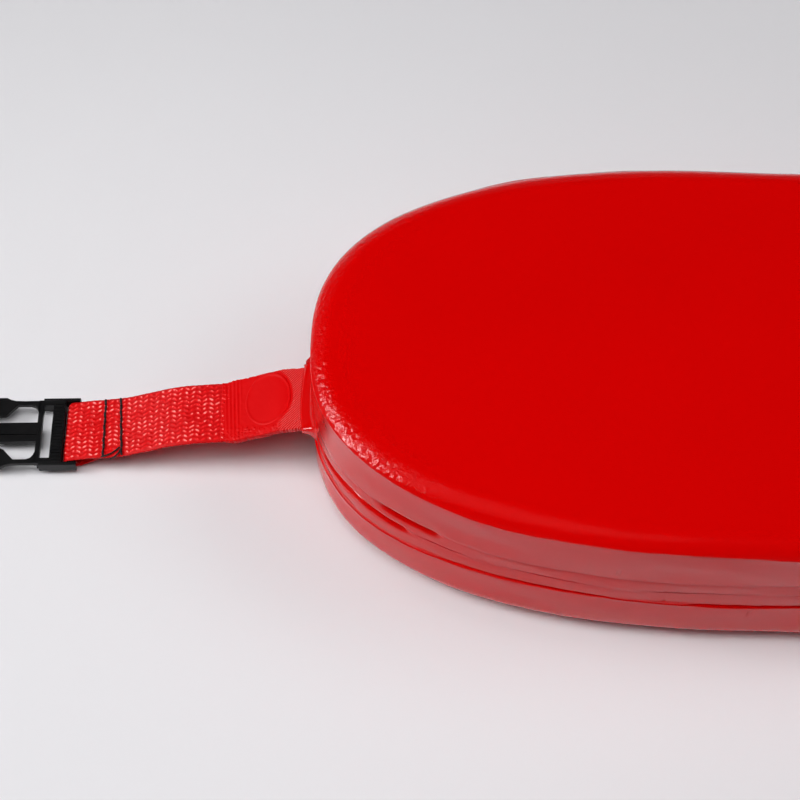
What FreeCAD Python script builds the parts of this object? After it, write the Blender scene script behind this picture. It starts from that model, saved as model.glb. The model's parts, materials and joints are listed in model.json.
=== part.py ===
"""Strap-on swim float: a dip-coated foam pad on a webbing belt with a side-release buckle.

Frame: X along the pad, -X towards the male half of the buckle, +Z up. The origin is the
centre of the pad's underside, which lies on the floor together with the belt and buckle.
"""

import FreeCAD, Part

import math
import os

V = FreeCAD.Vector
doc = FreeCAD.newDocument("swim_float")

# ---------------------------------------------------------------------------------------
# Driving dimensions, in millimetres and degrees
# ---------------------------------------------------------------------------------------
DIMENSIONS = {
    # the pad
    "pad_length": 320.0,
    "pad_width": 157.6,
    "pad_height": 60.0,
    "end_length": 149.2,
    "end_power": 2.45,
    "bottom_slab": 24.2,
    "lower_sheet": 7.2,
    "upper_sheet": 6.6,
    "sheet_recess": 1.0,
    "coat": 1.5,
    "top_round": 11.0,
    "bottom_round": 9.0,
    # the belt
    "web_width": 24.8,
    "web_thick": 1.6,
    "sleeve_wall": 0.5,
    "sleeve_run": 26.0,
    "belt_y": -2.7,
    "belt_z": 25.0,
    "collar_out": 2.6,
    "bead_out": 1.4,
    "bead_margin": 1.4,
    "root_out": 5.0,
    "left_yaw": 2.5,
    "disc_along": 15.5,
    "disc_across": 21.0,
    "disc_thick": 0.4,
    "disc_centre": 10.3,
    "disc_offset": 1.5,
    "stitch_radius": 0.35,
    "stitch_run": 2.1,
    "stitch_pitch": 2.65,
    "stitch_gap": 0.1,
    "stitch_under_gap": 0.12,
    # pieces that are fused run this far into each other, and cuts go this far past the surface
    "lap": 0.5,
    "cut_margin": 1.0,
    # both halves of the buckle
    "bar_radius": 1.3,
    "bar_z": 3.3,
    "rail_gap": 25.2,
    "rail_wall": 1.4,
    "rail_round": 0.5,
    # the male half: distances go outwards from its end bar
    "male_bar_run": 80.6,
    "rail_inner_end": 1.7,
    "male_rail_length": 13.0,
    "male_rail_low": 1.6,
    "male_rail_height": 4.5,
    "ribbed_bar_start": 3.4,
    "ribbed_bar_width": 4.3,
    "ribbed_bar_low": 1.9,
    "ribbed_bar_high": 4.0,
    "rib_width": 0.6,
    "rib_height": 0.35,
    "rib_pitch": 1.35,
    "rib_margin": 0.4,
    "rib_sink": 0.1,
    "shoulder_width": 2.0,
    "shoulder_inset": 1.6,
    "cross_start": 11.2,
    "cross_width": 1.7,
    "arm_half_span": 13.1,
    "arm_wall": 1.7,
    "arm_low": 4.0,
    "arm_height": 1.9,
    "arm_pivot": 14.6,
    "arm_straight": 20.0,
    "arm_round": 0.4,
    "guide_width": 7.8,
    "guide_length": 19.6,
    "guide_low": 3.9,
    "guide_height": 1.8,
    "guide_round": 3.0,
    "ridge_width": 2.4,
    "ridge_height": 0.5,
    "ridge_stop": 4.0,
    # the female half: distances go outwards from its middle bar
    "middle_bar_run": 204.0,
    "end_bar_back": 8.0,
    "end_bar_z": 5.05,
    "shell_start": 4.6,
    "shell_length": 27.4,
    "shell_width": 33.0,
    "shell_height": 7.7,
    "shell_wall": 1.4,
    "shell_round": 2.2,
    "shell_rail_height": 6.6,
    "shell_rail_lap": 2.0,
    "cavity_width": 27.6,
    "cavity_start": 6.6,
    "window_start": 12.0,
    "window_length": 12.0,
    "notch_radius": 14.0,
    "notch_depth": 4.5,
    # the elastic band round the folded belt
    "band_start": 96.0,
    "band_width": 8.0,
    "band_wall": 1.0,
    "band_inside_high": 11.4,
    "band_clearance": 0.2,
}

sheet = doc.addObject("Spreadsheet::Sheet", "sizes")
for row, (alias, value) in enumerate(DIMENSIONS.items(), start=1):
    sheet.set(f"A{row}", alias)
    sheet.set(f"B{row}", str(value))
    sheet.setAlias(f"B{row}", alias)
doc.recompute()


def size(alias):
    """The value of one cell, for the shapes that are worked out by formula."""
    return float(sheet.get(alias))


# The belt's two routes as seen from the side: (distance outwards from the hinge at the
# pad's end, height, radius of the bend there). Both end caps of a route have no radius.
LEFT_ROUTE = [
    (0.0, 25.0, 0.0),
    (5.0, 24.0, 12.0),
    (22.0, 17.2, 25.0),
    (42.0, 15.2, 45.0),
    (62.0, 7.9, 50.0),
    (82.95, 5.65, 2.35),
    (82.95, 0.95, 2.35),
    (77.3, 0.95, 5.0),
    (70.2, 5.1, 5.0),
    (59.4, 6.7, 0.0),
]
RIGHT_ROUTE = [
    (0.0, 25.0, 0.0),
    (7.0, 23.8, 14.0),
    (24.0, 14.5, 25.0),
    (42.0, 5.0, 25.0),
    (58.0, 2.0, 40.0),
    (150.0, 2.0, 2.1),
    (150.0, 6.2, 2.1),
    (70.0, 6.2, 2.1),
    (70.0, 10.4, 2.1),
    (150.0, 10.4, 20.0),
    (170.0, 5.6, 20.0),
    (187.0, 0.95, 20.0),
    (206.35, 0.95, 2.35),
    (206.35, 5.65, 2.35),
    (201.5, 5.65, 1.6),
    (198.4, 2.65, 1.6),
    (187.0, 2.65, 20.0),
    (170.0, 7.35, 20.0),
    (150.0, 12.2, 20.0),
    (132.0, 12.2, 0.82),
    (132.0, 13.84, 0.82),
    (146.0, 13.84, 0.0),
]
LEFT_STITCH_ROWS = (63.4, 69.4)
RIGHT_STITCH_ROW = 143.0

# The barbed head of one arm from above: (distance outwards from the end bar, distance
# from the buckle's middle line), from its inner side round the tip to its outer side.
ARM_HEAD = [
    (23.9, 6.9),
    (31.5, 6.9),
    (34.6, 8.2),
    (35.2, 9.4),
    (34.4, 10.8),
    (30.5, 13.6),
    (26.4, 14.6),
    (23.4, 14.6),
]


# ---------------------------------------------------------------------------------------
# Small helpers: each one adds an object whose sizes are bound to the sheet
# ---------------------------------------------------------------------------------------
def bind(thing, **expressions):
    """Binds properties to the sheet: bind(box, Length="pad_length / 2")."""
    for name, expression in expressions.items():
        path = {"x": "Placement.Base.x", "y": "Placement.Base.y", "z": "Placement.Base.z"}.get(name, name)
        for alias in sorted(DIMENSIONS, key=len, reverse=True):
            expression = replace_word(expression, alias)
        thing.setExpression(path, expression)
    return thing


def replace_word(text, alias):
    """Puts the sheet's name before an alias wherever it stands as a whole word."""
    words = text.split(" ")
    return " ".join("sizes." + word if word == alias else word for word in words)


def box(name, **expressions):
    """A box with its low corner at x, y, z; Length, Width and Height go along X, Y and Z."""
    return bind(doc.addObject("Part::Box", name), **expressions)


def rod(name, axis=V(0, 0, 1), **expressions):
    """A cylinder that starts at x, y, z and goes along the axis."""
    cylinder = doc.addObject("Part::Cylinder", name)
    cylinder.Placement = FreeCAD.Placement(V(), FreeCAD.Rotation(V(0, 0, 1), axis))
    return bind(cylinder, **expressions)


def joined(name, shapes):
    """One solid made of all the shapes."""
    fuse = doc.addObject("Part::MultiFuse", name)
    fuse.Shapes = shapes
    fuse.Refine = True
    return fuse


def less(name, base, tools):
    """The base without the tools."""
    tool = tools[0]
    if len(tools) > 1:
        tool = doc.addObject("Part::Compound", name + "_tools")
        tool.Links = tools
    cut = doc.addObject("Part::Cut", name)
    cut.Base = base
    cut.Tool = tool
    return cut


def rounded(name, base, radius, chosen):
    """The base with a round of the sheet's radius on each edge for which chosen(edge) is true."""
    doc.recompute()
    fillet = doc.addObject("Part::Fillet", name)
    fillet.Base = base
    numbers = [i for i, edge in enumerate(base.Shape.Edges, start=1) if chosen(edge)]
    fillet.Edges = [(i, radius, radius) for i in numbers]
    return fillet


def feature(name, shape):
    """A shape that is worked out by formula from the sheet's sizes."""
    plain = doc.addObject("Part::Feature", name)
    plain.Shape = shape
    return plain


def drawn_out(name, base, direction, length, symmetric=False):
    """A flat outline drawn out along the direction into a solid."""
    extrusion = doc.addObject("Part::Extrusion", name)
    extrusion.Base = base
    extrusion.DirMode = "Custom"
    extrusion.Dir = direction
    extrusion.Solid = True
    extrusion.Symmetric = symmetric
    return bind(extrusion, LengthFwd=length)


def runs_along(direction, edge):
    """True for a straight edge that is parallel to the direction."""
    if edge.Curve.TypeId != "Part::GeomLine":
        return False
    return edge.Curve.Direction.cross(direction).Length < 1e-6


# ---------------------------------------------------------------------------------------
# Flat bands that follow a route: straight runs joined by tangent arcs
# ---------------------------------------------------------------------------------------
def route_pieces(route, outward):
    """The route's runs and arcs. Each is a list of (point, left-hand normal) pairs."""
    corners = [(V(outward * out, 0, height), radius) for out, height, radius in route]
    pieces = []
    start = corners[0][0]
    for (before, _), (corner, radius), (after, _) in zip(corners, corners[1:], corners[2:]):
        into = (corner - before).normalize()
        away = (after - corner).normalize()
        turn = into.getAngle(away)
        inset = radius * math.tan(turn / 2)
        first = corner - into * inset
        last = corner + away * inset
        middle = corner + (away - into).normalize() * (radius / math.cos(turn / 2) - radius)
        if (first - start).Length > 1e-3:
            pieces.append([(start, left_of(into)), (first, left_of(into))])
        pieces.append([(first, left_of(into)), (middle, left_of(into + away)), (last, left_of(away))])
        start = last
    final = corners[-1][0]
    away = (final - corners[-2][0]).normalize()
    pieces.append([(start, left_of(away)), (final, left_of(away))])
    return pieces


def left_of(direction):
    """The unit normal in the XZ plane, a quarter turn from the direction."""
    return V(-direction.z, 0, direction.x).normalize()


def edge_through(points):
    """A straight edge through two points or an arc through three."""
    if len(points) == 2:
        return Part.LineSegment(*points).toShape()
    return Part.Arc(*points).toShape()


def side_of(pieces, offset):
    """The route moved sideways by the offset, as a list of edges."""
    return [edge_through([point + normal * offset for point, normal in piece]) for piece in pieces]


def band_face(route, outward, low, high, round_start=False):
    """The flat outline of a band between two offsets from its route."""
    pieces = route_pieces(route, outward)
    (start, start_normal), (end, end_normal) = pieces[0][0], pieces[-1][-1]
    edges = side_of(pieces, high) + side_of(pieces, low)
    edges.append(edge_through([end + end_normal * high, end + end_normal * low]))
    cap = [start + start_normal * low, start + start_normal * high]
    if round_start:
        backwards = V(start_normal.z, 0, -start_normal.x) * -1
        cap.insert(1, start + backwards * high)
    edges.append(edge_through(cap))
    return Part.Face(Part.Wire(Part.__sortEdges__(edges)))


def route_height(route, out):
    """The height of the route's upper leg at a distance outwards, and its slope there."""
    for (out_a, high_a, _), (out_b, high_b, _) in zip(route, route[1:]):
        if out_a <= out <= out_b:
            slope = (high_b - high_a) / (out_b - out_a)
            return high_a + slope * (out - out_a), slope
    raise ValueError("the route doesn't reach that far")


def bend_lift(route, out):
    """How far a shallow bend's arc passes above its corner's two straight runs."""
    for (out_a, high_a, _), (out_b, high_b, radius), (out_c, high_c, _) in zip(route, route[1:], route[2:]):
        if not (out_a < out_b < out_c and out_a <= out <= out_c):
            continue
        turn = (high_c - high_b) / (out_c - out_b) - (high_b - high_a) / (out_b - out_a)
        reach = radius * abs(turn) / 2
        if abs(out - out_b) < reach:
            return math.copysign((reach - abs(out - out_b)) ** 2 / (2 * radius), turn)
    return 0.0


def route_start(route, out):
    """The first part of the route, up to a distance outwards."""
    kept = [corner for corner in route[:4] if corner[0] < out]
    height, _ = route_height(route, out)
    return kept + [(out, height, 0.0)]


# ---------------------------------------------------------------------------------------
# The pad: four glued layers of foam with the belt between them, inside a vinyl skin
# ---------------------------------------------------------------------------------------
END_POINTS = 24


def pad_outline(name, inset):
    """The pad's outline: straight sides between two superellipse ends."""
    half_width = size("pad_width") / 2 - inset
    end_length = size("end_length") - inset
    straight = size("pad_length") / 2 - size("end_length")
    power = 2 / size("end_power")
    points = []
    for i in range(END_POINTS + 1):
        angle = math.pi * i / END_POINTS - math.pi / 2
        x = end_length * abs(math.cos(angle)) ** power
        y = half_width * math.copysign(abs(math.sin(angle)) ** power, angle)
        points.append(V(straight + x, y, 0))
    points[0].x = points[-1].x = straight
    end = Part.BSplineCurve()
    end.interpolate(Points=points, InitialTangent=V(1, 0, 0), FinalTangent=V(-1, 0, 0))
    right = end.toShape()
    left = right.copy()
    left.rotate(V(), V(0, 0, 1), 180)
    far = Part.LineSegment(points[-1], points[0] * -1).toShape()
    near = Part.LineSegment(points[-1] * -1, points[0]).toShape()
    return feature(name, Part.Wire([right, far, left, near]))


def slab(name, outline, height, **position):
    """One layer with straight sides, on the floor or from the height z upwards."""
    return bind(drawn_out(name, outline, V(0, 0, 1), height), **position)


def rounded_slab(name, outline, height, rim, radius, **position):
    """One layer whose low or high rim is rounded."""
    plain = slab(name + "_plain", outline, height, **position)
    doc.recompute()
    level = plain.Shape.BoundBox.ZMin if rim == "low" else plain.Shape.BoundBox.ZMax
    return rounded(
        name,
        plain,
        radius,
        lambda edge: edge.BoundBox.ZLength < 1e-4 and abs(edge.BoundBox.ZMin - level) < 1e-4,
    )


def build_pad():
    """Foam layers, the belt on the bottom one and the skin round them."""
    core_ends = "pad_length / 2 + collar_out"
    belt_core = box(
        "belt_core",
        Length=f"2 * ( {core_ends} )",
        Width="web_width",
        Height="web_thick",
        x=f"-1 * ( {core_ends} )",
        y="belt_y - web_width / 2",
        z="belt_z - web_thick / 2",
    )

    skin_line = pad_outline("skin_outline", 0.0)
    recess_line = pad_outline("recess_outline", size("sheet_recess"))
    slab_line = pad_outline("slab_foam_outline", size("coat"))
    sheet_line = pad_outline("sheet_foam_outline", size("coat") + size("sheet_recess"))

    lower_seam = "bottom_slab"
    middle_seam = "bottom_slab + lower_sheet"
    upper_seam = "bottom_slab + lower_sheet + upper_sheet"
    top_height = "pad_height - bottom_slab - lower_sheet - upper_sheet"
    bottom_foam = rounded_slab(
        "foam_slab_bottom", slab_line, "bottom_slab - coat", "low",
        size("bottom_round") - size("coat"), z="coat",
    )
    whole_sheet = slab("lower_sheet_whole", sheet_line, "lower_sheet", z=lower_seam)
    lower_foam = less("foam_sheet_lower", whole_sheet, [belt_core])
    upper_foam = slab("foam_sheet_upper", sheet_line, "upper_sheet", z=middle_seam)
    top_foam = rounded_slab(
        "foam_slab_top", slab_line, top_height + " - coat", "high",
        size("top_round") - size("coat"), z=upper_seam,
    )

    outside = [
        rounded_slab("skin_bottom", skin_line, "bottom_slab", "low", size("bottom_round")),
        slab("skin_middle", recess_line, "lower_sheet + upper_sheet", z=lower_seam),
        rounded_slab("skin_top", skin_line, top_height, "high", size("top_round"), z=upper_seam),
    ]
    for label, out, wall in (
        ("collar", "collar_out", "sleeve_wall"),
        ("bead", "bead_out", "bead_margin"),
    ):
        reach = f"pad_length / 2 + {out}"
        outside.append(
            box(
                label,
                Length=f"2 * ( {reach} )",
                Width=f"web_width + 2 * {wall}",
                Height=f"web_thick + 2 * {wall}",
                x=f"-1 * ( {reach} )",
                y=f"belt_y - web_width / 2 - {wall}",
                z=f"belt_z - web_thick / 2 - {wall}",
            )
        )
    inside = [bottom_foam, lower_foam, upper_foam, top_foam, belt_core]
    skin = less("dip_coating", joined("skin_outside", outside), inside)
    return [skin] + inside


# ---------------------------------------------------------------------------------------
# The belt outside the pad
# ---------------------------------------------------------------------------------------
def strap_web(side, route, outward):
    """The webbing, from its hinge at the pad to its sewn end."""
    half = size("web_thick") / 2
    outline = feature(side + "_strap_outline", band_face(route, outward, -half, half, round_start=True))
    return drawn_out(side + "_strap", outline, V(0, 1, 0), "web_width", symmetric=True)


def strap_sleeve(side, route, outward, web):
    """The vinyl that runs on from the pad round the first stretch of webbing."""
    half = size("web_thick") / 2 + size("sleeve_wall")
    dipped = route_start(route, size("sleeve_run"))
    outline = feature(side + "_sleeve_outline", band_face(dipped, outward, -half, half, round_start=True))
    solid = drawn_out(
        side + "_sleeve", outline, V(0, 1, 0), "web_width + 2 * sleeve_wall", symmetric=True
    )
    hollow = drawn_out(side + "_hollow", web.Base, V(0, 1, 0), "web_width", symmetric=True)
    return less(side + "_strap_coating", solid, [hollow])


def strap_disc(side, route, outward):
    """The thin oval patch welded on top of the coated webbing."""
    low = size("web_thick") / 2 + size("sleeve_wall")
    dipped = route_start(route, size("sleeve_run"))
    upper = sorted((outward * low, outward * (low + size("disc_thick"))))
    layer_outline = feature(side + "_disc_layer_outline", band_face(dipped, outward, *upper))
    layer = drawn_out(side + "_disc_layer", layer_outline, V(0, 1, 0), "web_width", symmetric=True)
    oval = doc.addObject("Part::Ellipse", side + "_disc_oval")
    oval.Placement = FreeCAD.Placement(V(), FreeCAD.Rotation(V(0, 0, 1), 90))
    bind(
        oval,
        MajorRadius="disc_across / 2",
        MinorRadius="disc_along / 2",
        x=f"{outward} * disc_centre",
        y="disc_offset",
    )
    prism = drawn_out(side + "_disc_prism", oval, V(0, 0, 1), "pad_height")
    disc = doc.addObject("Part::Common", side + "_strap_disc")
    disc.Base = layer
    disc.Tool = prism
    return disc


def stitch_row(name, out, height, outward):
    """A row of short stitches across the webbing, lying at that height."""
    count = int((size("web_width") - size("stitch_run")) / size("stitch_pitch")) + 1
    row = []
    for i in range(count):
        place = f"{i - (count - 1) / 2} * stitch_pitch - stitch_run / 2"
        row.append(
            rod(
                f"{name}_{i + 1}",
                V(0, 1, 0),
                Radius="stitch_radius",
                Height="stitch_run",
                x=f"{outward * out}",
                y=place,
                z=f"{height}",
            )
        )
    return row


def left_stitching():
    """Two rows through both legs of the loop, seen above and below it."""
    lift = size("web_thick") / 2 + size("stitch_radius")
    stitches = []
    for number, out in enumerate(LEFT_STITCH_ROWS, start=1):
        top, _ = route_height(LEFT_ROUTE, out)
        top += bend_lift(LEFT_ROUTE, out)
        inner, outer = LEFT_ROUTE[-1], LEFT_ROUTE[-2]
        share = (out - inner[0]) / (outer[0] - inner[0])
        under = inner[1] + share * (outer[1] - inner[1])
        above = top + lift + size("stitch_gap")
        below = under - lift - size("stitch_under_gap")
        stitches += stitch_row(f"left_top_row_{number}", out, above, -1)
        stitches += stitch_row(f"left_under_row_{number}", out, below, -1)
    return stitches


def right_stitching():
    """One row across the folded hem of the tail."""
    lift = size("web_thick") / 2 + size("stitch_radius")
    above = RIGHT_ROUTE[-1][1] + lift + size("stitch_gap")
    return stitch_row("right_hem_row", RIGHT_STITCH_ROW, above, 1)


def grouped(name, solids):
    """Separate solids in one node."""
    group = doc.addObject("Part::Compound", name)
    group.Links = solids
    return group


def build_band():
    """The elastic band that holds the folded belt together."""
    outer = box(
        "band_outside",
        Length="band_width",
        Width="web_width + 2 * ( band_wall + band_clearance )",
        Height="band_inside_high + band_wall",
        x="band_start",
        y="-1 * ( web_width / 2 + band_wall + band_clearance )",
    )
    inner = box(
        "band_inside",
        Length="band_width + 2 * cut_margin",
        Width="web_width + 2 * band_clearance",
        Height="band_inside_high - band_wall",
        x="band_start - cut_margin",
        y="-1 * ( web_width / 2 + band_clearance )",
        z="band_wall",
    )
    return less("folding_band", outer, [inner])


# ---------------------------------------------------------------------------------------
# The male half of the buckle. It lies along -X, so outwards is the low end of each box
# ---------------------------------------------------------------------------------------
def outward_box(name, start, length, **expressions):
    """A box that starts at a distance outwards from the end bar and goes on outwards."""
    return box(name, Length=length, x=f"-1 * ( male_bar_run + {start} + {length} )", **expressions)


def build_male_frame():
    """Rails, sewn-on end bar, ribbed bar, cross member and the guide between the arms."""
    parts = []
    for label, low in (("far", "rail_gap / 2"), ("near", "-1 * ( rail_gap / 2 + rail_wall )")):
        rail = outward_box(
            f"male_rail_{label}", "-1 * rail_inner_end", "male_rail_length",
            Width="rail_wall", Height="male_rail_height", y=low, z="male_rail_low",
        )
        parts.append(
            rounded(
                f"male_rail_{label}_rounded", rail, size("rail_round"),
                lambda edge: runs_along(V(1, 0, 0), edge),
            )
        )
    for label, low in (
        ("far", "rail_gap / 2 - shoulder_inset"),
        ("near", "-1 * ( rail_gap / 2 - shoulder_inset + shoulder_width )"),
    ):
        parts.append(
            outward_box(
                f"male_shoulder_{label}", "ribbed_bar_start",
                "cross_start - ribbed_bar_start + 2 * lap",
                Width="shoulder_width", Height="ribbed_bar_high", y=low, z="ribbed_bar_low",
            )
        )
    parts.append(
        rod(
            "male_end_bar", V(0, 1, 0), Radius="bar_radius", Height="rail_gap + rail_wall",
            x="-1 * male_bar_run", y="-1 * ( rail_gap + rail_wall ) / 2", z="bar_z",
        )
    )
    parts.append(
        outward_box(
            "male_ribbed_bar", "ribbed_bar_start", "ribbed_bar_width",
            Width="rail_gap + rail_wall", Height="ribbed_bar_high",
            y="-1 * ( rail_gap + rail_wall ) / 2", z="ribbed_bar_low",
        )
    )
    rib_count = int(size("rail_gap") / size("rib_pitch"))
    for i in range(rib_count):
        middle = f"{i - (rib_count - 1) / 2} * rib_pitch"
        parts.append(
            outward_box(
                f"male_rib_{i + 1}", "ribbed_bar_start + rib_margin",
                "ribbed_bar_width - 2 * rib_margin",
                Width="rib_width", Height="rib_height + rib_sink",
                y=f"{middle} - rib_width / 2", z="ribbed_bar_low + ribbed_bar_high - rib_sink",
            )
        )
    parts.append(
        outward_box(
            "male_cross", "cross_start", "cross_width",
            Width="2 * arm_half_span", Height="arm_height", y="-1 * arm_half_span", z="arm_low",
        )
    )
    guide = outward_box(
        "male_guide", "cross_start + cross_width - lap", "guide_length",
        Width="guide_width", Height="guide_height", y="-1 * guide_width / 2", z="guide_low",
    )
    doc.recompute()
    tip = guide.Shape.BoundBox.XMin
    parts.append(
        rounded(
            "male_guide_rounded", guide, size("guide_round"),
            lambda edge: runs_along(V(0, 0, 1), edge) and abs(edge.BoundBox.XMin - tip) < 0.01,
        )
    )
    parts.append(
        outward_box(
            "male_guide_ridge", "cross_start + cross_width - lap", "guide_length - ridge_stop",
            Width="ridge_width", Height="ridge_height",
            y="-1 * ridge_width / 2", z="guide_low + guide_height",
        )
    )
    return joined("male_buckle_frame", parts)


def arm_outline(side):
    """Seen from above: a thin arm with a rounded root, ending in a barbed head."""
    run = size("male_bar_run")
    root = run + size("arm_pivot")
    straight = run + size("arm_straight")
    outer = size("arm_half_span")
    inner = outer - size("arm_wall")
    middle = (outer + inner) / 2
    half = size("arm_wall") / 2

    def at(out, across):
        return V(-out, side * across, 0)

    head = [at(run + out, across) for out, across in ARM_HEAD]
    corners = [at(root, inner), at(straight, inner)] + head + [at(straight, outer), at(root, outer)]
    edges = [Part.LineSegment(a, b).toShape() for a, b in zip(corners, corners[1:])]
    edges.append(Part.Arc(corners[-1], at(root - half, middle), corners[0]).toShape())
    return Part.Face(Part.Wire(edges))


def build_male_arm(name, side):
    """One springy arm, from its root beside the cross member to its barbed head."""
    outline = feature(name + "_outline", arm_outline(side))
    arm = bind(drawn_out(name + "_plain", outline, V(0, 0, 1), "arm_height"), z="arm_low")
    return rounded(name, arm, size("arm_round"), lambda edge: edge.BoundBox.ZLength < 1e-4)


# ---------------------------------------------------------------------------------------
# The female half of the buckle
# ---------------------------------------------------------------------------------------
def build_female():
    """A hollow shell with a mouth and two side windows, and two bars for the belt."""
    shell_x = "middle_bar_run + shell_start"
    outside = box(
        "female_outside", Length="shell_length", Width="shell_width", Height="shell_height",
        x=shell_x, y="-1 * shell_width / 2",
    )
    along = V(1, 0, 0)
    parts = [
        rounded("female_shell", outside, size("shell_round"), lambda edge: runs_along(along, edge))
    ]
    for label, low in (("far", "rail_gap / 2"), ("near", "-1 * ( rail_gap / 2 + rail_wall )")):
        parts.append(
            box(
                f"female_rail_{label}",
                Length="end_bar_back + rail_inner_end + shell_start + shell_rail_lap",
                Width="rail_wall", Height="shell_rail_height",
                x="middle_bar_run - end_bar_back - rail_inner_end", y=low,
            )
        )
    for label, back, height in (("middle", "0", "bar_z"), ("end", "end_bar_back", "end_bar_z")):
        parts.append(
            rod(
                f"female_{label}_bar", V(0, 1, 0), Radius="bar_radius", Height="rail_gap + rail_wall",
                x=f"middle_bar_run - {back}", y="-1 * ( rail_gap + rail_wall ) / 2", z=height,
            )
        )
    cavity = box(
        "female_cavity", Length="shell_length", Width="cavity_width",
        Height="shell_height - 2 * shell_wall",
        x="middle_bar_run + cavity_start", y="-1 * cavity_width / 2", z="shell_wall",
    )
    windows = box(
        "female_windows", Length="window_length", Width="shell_width + 2 * cut_margin",
        Height="shell_height - 2 * shell_wall",
        x="middle_bar_run + window_start", y="-1 * shell_width / 2 - cut_margin", z="shell_wall",
    )
    notch = rod(
        "female_notch", Radius="notch_radius", Height="shell_height + 2 * cut_margin",
        x=f"{shell_x} + shell_length + notch_radius - notch_depth", z="-1 * cut_margin",
    )
    return less("female_buckle_shell", joined("female_solid", parts), [cavity, windows, notch])


# ---------------------------------------------------------------------------------------
# Everything in its place
# ---------------------------------------------------------------------------------------
def place(parts, end):
    """Puts the parts of one end of the belt at their hinge outside the pad."""
    for part in parts:
        yaw = size("left_yaw") if end < 0 else 0.0
        part.Placement = FreeCAD.Placement(V(), FreeCAD.Rotation(V(0, 0, 1), yaw))
        bind(part, x=f"{end} * ( pad_length / 2 + root_out )", y="belt_y")


pad = build_pad()

left_web = strap_web("left", LEFT_ROUTE, -1)
left = [
    left_web,
    strap_sleeve("left", LEFT_ROUTE, -1, left_web),
    strap_disc("left", LEFT_ROUTE, -1),
    grouped("left_strap_stitching", left_stitching()),
    build_male_frame(),
    build_male_arm("male_arm_far", 1),
    build_male_arm("male_arm_near", -1),
]

right_web = strap_web("right", RIGHT_ROUTE, 1)
right = [
    right_web,
    strap_sleeve("right", RIGHT_ROUTE, 1, right_web),
    strap_disc("right", RIGHT_ROUTE, 1),
    grouped("right_strap_stitching", right_stitching()),
    build_band(),
    build_female(),
]

doc.recompute()
place(left, -1)
place(right, 1)
doc.recompute()

for thing in doc.Objects:
    if {"Invalid", "Error"} & set(thing.State):
        raise RuntimeError(f"{thing.Name} is {thing.State}")

os.makedirs("parts", exist_ok=True)
for part in pad + left + right:
    part.Label = part.Name
    if part.Shape.isNull() or not part.Shape.isValid():
        raise RuntimeError(f"{part.Label} has no valid shape")
for part in pad + left + right:
    part.Shape.exportStep(os.path.join("parts", part.Label + ".step"))
    limits = part.Shape.BoundBox
    print(
        f"{part.Label:24s} solids {len(part.Shape.Solids):3d} volume {part.Shape.Volume:10.1f}"
        f"  x {limits.XMin:7.1f} {limits.XMax:7.1f}  y {limits.YMin:6.1f} {limits.YMax:6.1f}"
        f"  z {limits.ZMin:5.1f} {limits.ZMax:5.1f}"
    )
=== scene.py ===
"""The looks of a strap-on swim float: a dip-coated foam pad, its webbing belt and its buckle.

Sizes below are in millimetres in the row frame, and are turned into metres where a mesh is made.
"""

import json
import math

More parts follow.
